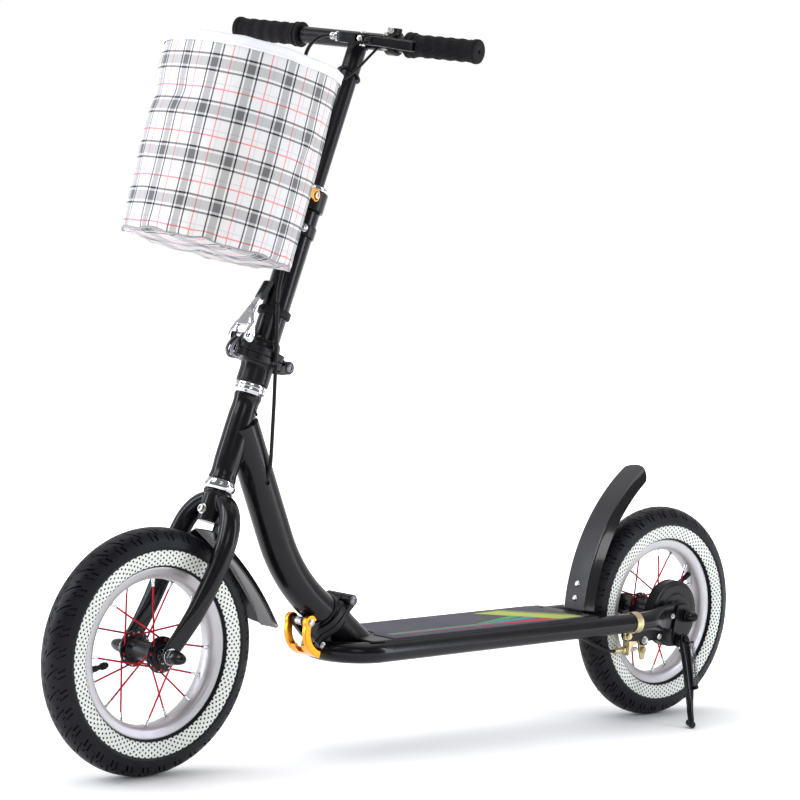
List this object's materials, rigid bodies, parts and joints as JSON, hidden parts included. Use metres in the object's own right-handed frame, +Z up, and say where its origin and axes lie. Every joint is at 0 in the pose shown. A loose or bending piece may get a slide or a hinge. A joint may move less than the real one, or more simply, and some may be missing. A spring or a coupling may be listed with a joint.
{
  "type": "folding kick scooter",
  "caption": "Folding two-wheel kick scooter with air tyres, standing deck, band brake, side stand, height-set handlebar and a round cloth basket.",
  "frame": {"origin": "on the ground, midway between the two tyre contact points", "axes": "+X forward, +Y to the rider's left, +Z up"},
  "size_m": [1.258, 0.3745, 0.9686],
  "materials": {
    "black_gloss": "gloss black enamel",
    "black_cast": "satin black coated casting",
    "deck_sheet": "black coated sheet steel",
    "grip_sheet": "grey-violet anti-slip sheet with coloured stripes",
    "steel_dark": "blackened steel",
    "fender_plastic": "glossy black plastic",
    "steel": "bright steel",
    "zinc_yellow": "yellow zinc plate",
    "cable_black": "black cable jacket",
    "tyre_rubber": "black tread with cream dotted side band",
    "tube_rubber": "black butyl",
    "rim_alloy": "brushed aluminium",
    "spoke_red": "red spokes with silver nipples",
    "chrome": "bright chrome",
    "orange_anodised": "orange anodised",
    "latch_chrome": "chrome lever with black ribbed pad",
    "band_rubber": "matt black rubber",
    "clamp_black": "black clamp with chrome top ring",
    "basket_fabric": "white woven cloth with grey, black and red check",
    "grip_foam": "ribbed black rubber",
    "lever_black": "satin black",
    "bearing_steel": "bearing steel"
  },
  "bodies": {
    "deck": {"deck_frame": "black_gloss", "deck_plate": "deck_sheet", "deck_grip": "grip_sheet", "hinge_lower": "black_cast", "frame_hinge_pin": "steel_dark", "rear_fender": "fender_plastic", "rear_fender_fixings": "steel", "rear_axle": "steel", "rear_axle_nuts": "steel_dark", "brake_cover": "black_cast", "brake_clip": "zinc_yellow", "cable_stop": "zinc_yellow", "kickstand_bracket": "steel_dark", "brake_cable_deck": "cable_black", "brake_spring": "steel", "kickstand_springs": "steel_dark"},
    "brake_arm": {"brake_arm": "zinc_yellow"},
    "kickstand": {"kickstand_leg": "steel_dark"},
    "rear_wheel": {"rear_tyre": "tyre_rubber", "rear_inner_tube": "tube_rubber", "rear_rim": "rim_alloy", "rear_spokes": "spoke_red", "rear_hub": "black_cast", "rear_bearings": "bearing_steel", "brake_drum": "steel"},
    "front_frame": {"main_frame": "black_gloss", "hinge_upper": "black_cast", "headset": "chrome", "latch_bolt": "steel", "brake_cable_frame": "cable_black", "brake_cable_steer": "cable_black"},
    "frame_latch": {"frame_latch_lever": "orange_anodised"},
    "fork": {"fork": "black_gloss", "front_fender": "fender_plastic", "front_fender_fixings": "steel", "front_axle": "steel", "front_axle_nuts": "steel_dark", "stem_base": "black_cast", "stem_hinge_pin": "steel_dark", "brake_cable_hinge": "cable_black"},
    "front_wheel": {"front_tyre": "tyre_rubber", "front_inner_tube": "tube_rubber", "front_rim": "rim_alloy", "front_spokes": "spoke_red", "front_hub": "black_cast", "front_bearings": "bearing_steel"},
    "stem": {"stem_tube": "black_gloss", "stem_latch_bolt": "steel", "lever_band": "band_rubber", "height_clamp": "clamp_black", "basket_bracket": "steel", "basket": "basket_fabric", "brake_cable_bar": "cable_black", "basket_cord": "cable_black"},
    "stem_latch": {"stem_latch_lever": "latch_chrome"},
    "height_lever": {"height_lever": "orange_anodised"},
    "handlebar": {"handlebar": "black_gloss", "grips": "grip_foam", "brake_bracket": "lever_black"},
    "brake_lever": {"brake_lever": "lever_black"}
  },
  "joints": [
    {"name": "frame_fold", "type": "hinge", "parent": "deck", "child": "front_frame", "pos_m": [0.157, 0, 0.205], "axis": [0, -1, 0], "range_deg": [0, 75]},
    {"name": "steering", "type": "hinge", "parent": "front_frame", "child": "fork", "pos_m": [0.495, 0, 0], "axis": [-0.3239, 0, 0.9461], "range_deg": [-40, 40], "deforming": ["brake_cable_steer"]},
    {"name": "front_wheel_spin", "type": "hinge", "parent": "fork", "child": "front_wheel", "pos_m": [0.474, 0, 0.155], "axis": [0, 1, 0], "continuous": true},
    {"name": "stem_fold", "type": "hinge", "parent": "fork", "child": "stem", "pos_m": [0.28057, 0, 0.50898], "axis": [0, -1, 0], "range_deg": [0, 105], "deforming": ["brake_cable_hinge"]},
    {"name": "stem_latch_lever_turn", "type": "hinge", "parent": "stem", "child": "stem_latch", "pos_m": [0.34951, 0, 0.54844], "axis": [0, 1, 0], "range_deg": [0, 115]},
    {"name": "frame_latch_lever_turn", "type": "hinge", "parent": "front_frame", "child": "frame_latch", "pos_m": [0.22568, 0, 0.17918], "axis": [0, -1, 0], "range_deg": [0, 92]},
    {"name": "height_lever_turn", "type": "hinge", "parent": "stem", "child": "height_lever", "pos_m": [0.27086, 0.00775, 0.73291], "axis": [-0.2766, 0.9563, -0.0947], "range_deg": [0, 90]},
    {"name": "bar_height", "type": "slide", "parent": "stem", "child": "handlebar", "axis": [-0.3239, 0, 0.9461], "range_m": [-0.06, 0.05], "deforming": ["brake_cable_bar", "basket_cord"]},
    {"name": "brake_lever_pull", "type": "hinge", "parent": "handlebar", "child": "brake_lever", "pos_m": [0.20527, 0.0407, 0.93352], "axis": [-0.0104, 0.0838, 0.9964], "range_deg": [0, 13], "stiffness_Nm_per_rad": 0.6, "springref_deg": -5.73},
    {"name": "brake_arm_turn", "type": "hinge", "parent": "deck", "child": "brake_arm", "pos_m": [-0.406, 0.04, 0.12], "axis": [0, -1, 0], "range_deg": [0, 13], "deforming": ["brake_spring"]},
    {"name": "kickstand_fold", "type": "hinge", "parent": "deck", "child": "kickstand", "pos_m": [-0.463, 0.066, 0.119], "axis": [0, 0.9367, 0.3502], "range_deg": [0, 95], "deforming": ["kickstand_springs"]},
    {"name": "rear_wheel_spin", "type": "hinge", "parent": "deck", "child": "rear_wheel", "pos_m": [-0.474, 0, 0.155], "axis": [0, 1, 0], "continuous": true}
  ],
  "couplings": [
    {"joint": "brake_arm_turn", "follows": "brake_lever_pull", "ratio": 1}
  ]
}
